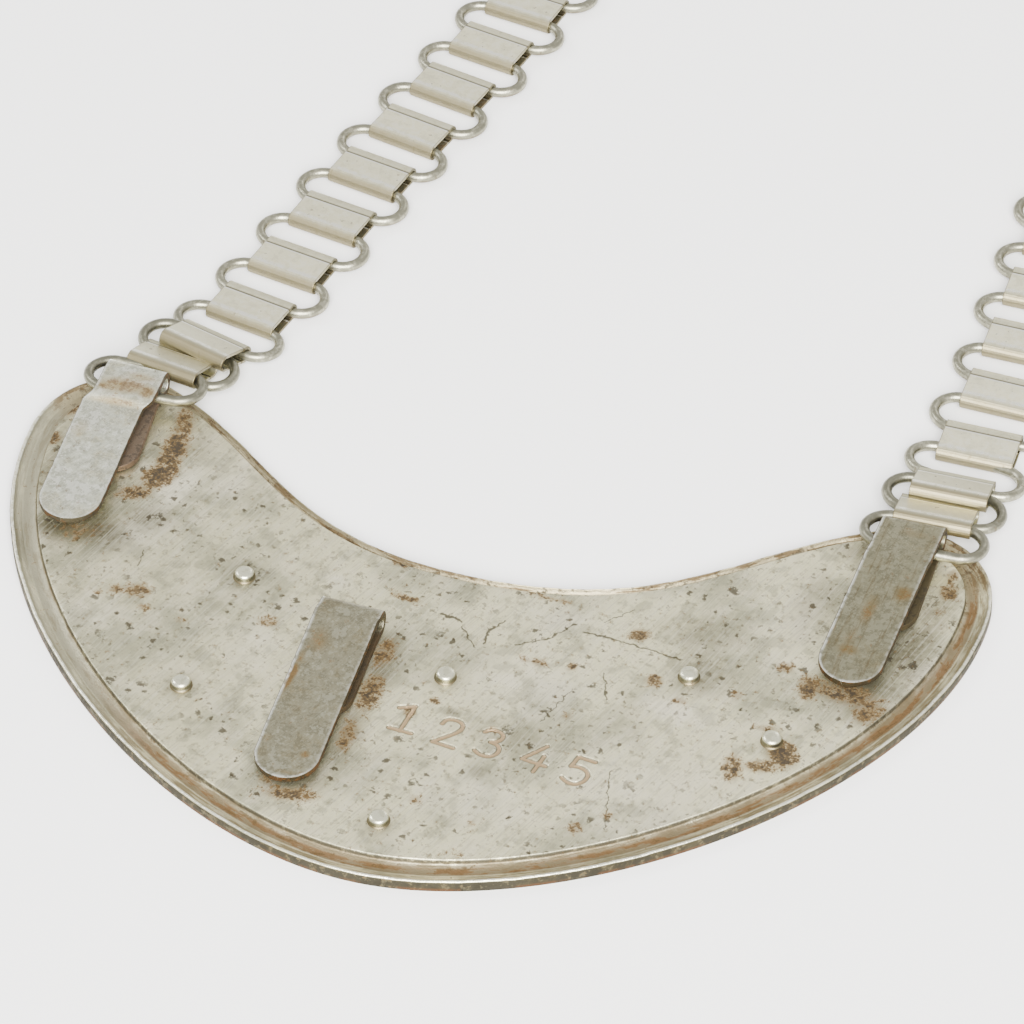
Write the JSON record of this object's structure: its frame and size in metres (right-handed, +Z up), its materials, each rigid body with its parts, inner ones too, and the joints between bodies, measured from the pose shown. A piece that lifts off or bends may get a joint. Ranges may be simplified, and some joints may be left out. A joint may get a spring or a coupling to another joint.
{
  "type": "steel gorget",
  "caption": "Worn steel gorget lying face down: a kidney-shaped rimmed plate with strip hooks and studs on its back, and a flat link neck chain laid out in one loop.",
  "frame": {"origin": "on the surface the gorget lies on, under the middle of its laid-out width and length", "axes": "+X along the plate's width, +Y from the plate towards the far end of the chain, +Z up out of the plate's back"},
  "size_m": [0.161, 0.323, 0.0069],
  "materials": {
    "plate_steel": "aged matte grey with brown rust patches",
    "hook_steel": "scratched satin grey with rust stains",
    "stud_steel": "worn satin, browned at the foot",
    "chain_steel": "satin warm silver"
  },
  "bodies": {
    "root": {"plate": "plate_steel", "hook_left": "hook_steel", "hook_centre": "hook_steel", "hook_right": "hook_steel", "stud_1": "stud_steel", "stud_2": "stud_steel", "stud_3": "stud_steel", "stud_4": "stud_steel", "stud_5": "stud_steel", "stud_6": "stud_steel", "chain_left": "chain_steel", "chain_right": "chain_steel"}
  },
  "joints": []
}
